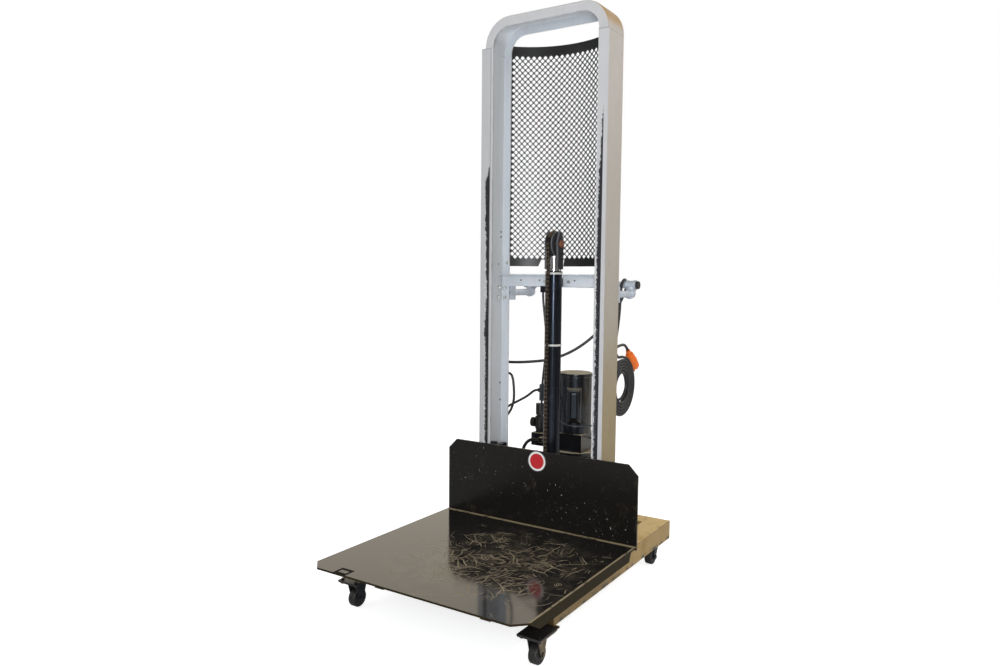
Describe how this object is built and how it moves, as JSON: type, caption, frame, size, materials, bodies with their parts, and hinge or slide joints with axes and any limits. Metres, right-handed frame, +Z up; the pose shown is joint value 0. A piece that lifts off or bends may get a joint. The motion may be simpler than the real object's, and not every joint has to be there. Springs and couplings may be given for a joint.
{
  "type": "platform stacker",
  "caption": "Powered platform stacker: a flat load platform with a back plate, lifted up a channel mast by a hydraulic ram and a chain, on a base frame with casters.",
  "frame": {"origin": "on the floor, under the middle of the machine's box without its power cord", "axes": "+X to the right seen from the load, +Y to the rear, +Z up the mast"},
  "size_m": [0.66, 1.0015, 1.694],
  "materials": {
    "mast_paint": "worn satin",
    "base_paint": "dusty satin",
    "platform_paint": "scuffed semi-gloss",
    "mesh_paint": "satin",
    "cylinder_paint": "gloss",
    "motor_paint": "dusty gloss",
    "pump_alloy": "cast",
    "galvanised": "galvanised",
    "zinc_steel": "zinc plated",
    "dark_steel": "oiled",
    "rusty_chain": "rusty and oiled",
    "rusty_steel": "rusty",
    "ram_chrome": "polished",
    "track_steel": "worn and greasy",
    "white_band": "matt",
    "black_plastic": "matt",
    "grey_plastic": "matt",
    "nylon": "matt",
    "black_rubber": "matt",
    "wheel_rubber": "matt",
    "orange_plastic": "moulded",
    "button_green": "moulded",
    "button_red": "moulded",
    "valve_steel": "plated"
  },
  "bodies": {
    "frame": {"base_side_rails": "base_paint", "base_cross_rails": "base_paint", "mast_left_channel": "mast_paint", "mast_right_channel": "mast_paint", "mast_top_bow": "mast_paint", "mast_track_strips": "track_steel", "mast_cross_member": "mast_paint", "mesh_guard": "mesh_paint", "cylinder_barrel": "cylinder_paint", "cylinder_gland": "cylinder_paint", "cylinder_bands": "white_band", "cylinder_clamp": "zinc_steel", "chain_rear_run": "rusty_chain", "chain_base_anchor": "dark_steel", "oil_tank": "motor_paint", "pump_block": "pump_alloy", "lowering_valve": "valve_steel", "motor_shell": "motor_paint", "motor_end_cap": "motor_paint", "capacitor_cover": "motor_paint", "terminal_box": "motor_paint", "handle_brackets": "galvanised", "handle_pipes": "galvanised", "handle_fittings": "galvanised", "push_bar_caps": "black_plastic", "control_box": "grey_plastic", "control_panel": "grey_plastic", "cable_glands": "black_plastic", "power_cord": "black_rubber", "power_cord_coil": "black_rubber", "power_plug": "orange_plastic", "motor_lead": "black_rubber", "capacitor_lead": "black_rubber", "vent_hose": "black_rubber", "pressure_hose": "black_rubber", "frame_bolts": "zinc_steel", "caster_plates": "zinc_steel", "front_caster_forks": "zinc_steel"},
    "carriage": {"platform_deck": "platform_paint", "back_plate": "platform_paint", "platform_arms": "platform_paint", "carriage_bars": "platform_paint", "wear_pads": "nylon", "carriage_chain_anchor": "dark_steel"},
    "ram": {"ram_rod": "ram_chrome", "sheave_fork": "dark_steel", "sheave_pin": "rusty_steel", "chain_front_run": "rusty_chain"},
    "sheave": {"sheave": "dark_steel"},
    "roller_left": {"guide_roller_left": "dark_steel"},
    "roller_right": {"guide_roller_right": "dark_steel"},
    "front_left": {"front_wheel_left": "wheel_rubber"},
    "front_right": {"front_wheel_right": "wheel_rubber"},
    "caster_left": {"rear_fork_left": "zinc_steel"},
    "caster_right": {"rear_fork_right": "zinc_steel"},
    "rear_left": {"rear_wheel_left": "wheel_rubber"},
    "rear_right": {"rear_wheel_right": "wheel_rubber"},
    "rotor": {"motor_rotor": "dark_steel"},
    "up_button": {"up_button": "button_green"},
    "down_button": {"down_button": "button_red"}
  },
  "joints": [
    {"name": "carriage_lift", "type": "slide", "parent": "frame", "child": "carriage", "axis": [0, 0, 1], "range_m": [0, 1.17], "deforming": ["chain_front_run", "chain_rear_run"]},
    {"name": "ram_extend", "type": "slide", "parent": "frame", "child": "ram", "axis": [0, 0, 1], "range_m": [0, 0.585]},
    {"name": "sheave_spin", "type": "hinge", "parent": "ram", "child": "sheave", "pos_m": [0, 0.2325, 1.009], "axis": [-1, 0, 0], "range_deg": [0, 920]},
    {"name": "roller_left_spin", "type": "hinge", "parent": "carriage", "child": "roller_left", "pos_m": [-0.19, 0.1854, 0.352], "axis": [1, 0, 0], "continuous": true},
    {"name": "roller_right_spin", "type": "hinge", "parent": "carriage", "child": "roller_right", "pos_m": [0.19, 0.1854, 0.352], "axis": [1, 0, 0], "continuous": true},
    {"name": "front_left_spin", "type": "hinge", "parent": "frame", "child": "front_left", "pos_m": [-0.286, -0.338, 0.025], "axis": [1, 0, 0], "continuous": true},
    {"name": "front_right_spin", "type": "hinge", "parent": "frame", "child": "front_right", "pos_m": [0.286, -0.338, 0.025], "axis": [1, 0, 0], "continuous": true},
    {"name": "caster_left_swivel", "type": "hinge", "parent": "frame", "child": "caster_left", "pos_m": [-0.262, 0.438, 0.066], "axis": [0, 0, 1], "continuous": true},
    {"name": "caster_right_swivel", "type": "hinge", "parent": "frame", "child": "caster_right", "pos_m": [0.262, 0.438, 0.066], "axis": [0, 0, 1], "continuous": true},
    {"name": "rear_left_spin", "type": "hinge", "parent": "caster_left", "child": "rear_left", "pos_m": [-0.262, 0.42, 0.025], "axis": [1, 0, 0], "continuous": true},
    {"name": "rear_right_spin", "type": "hinge", "parent": "caster_right", "child": "rear_right", "pos_m": [0.262, 0.42, 0.025], "axis": [1, 0, 0], "continuous": true},
    {"name": "motor_spin", "type": "hinge", "parent": "frame", "child": "rotor", "pos_m": [0, 0.391, 0.49], "axis": [0, 0, 1], "continuous": true},
    {"name": "up_press", "type": "slide", "parent": "frame", "child": "up_button", "axis": [0, -1, 0], "range_m": [0, 0.004], "stiffness_N_per_m": 400},
    {"name": "down_press", "type": "slide", "parent": "frame", "child": "down_button", "axis": [0, -1, 0], "range_m": [0, 0.004], "stiffness_N_per_m": 400}
  ],
  "couplings": [
    {"joint": "ram_extend", "follows": "carriage_lift", "ratio": 0.5},
    {"joint": "sheave_spin", "follows": "carriage_lift", "rad_per_m": 13.673}
  ]
}
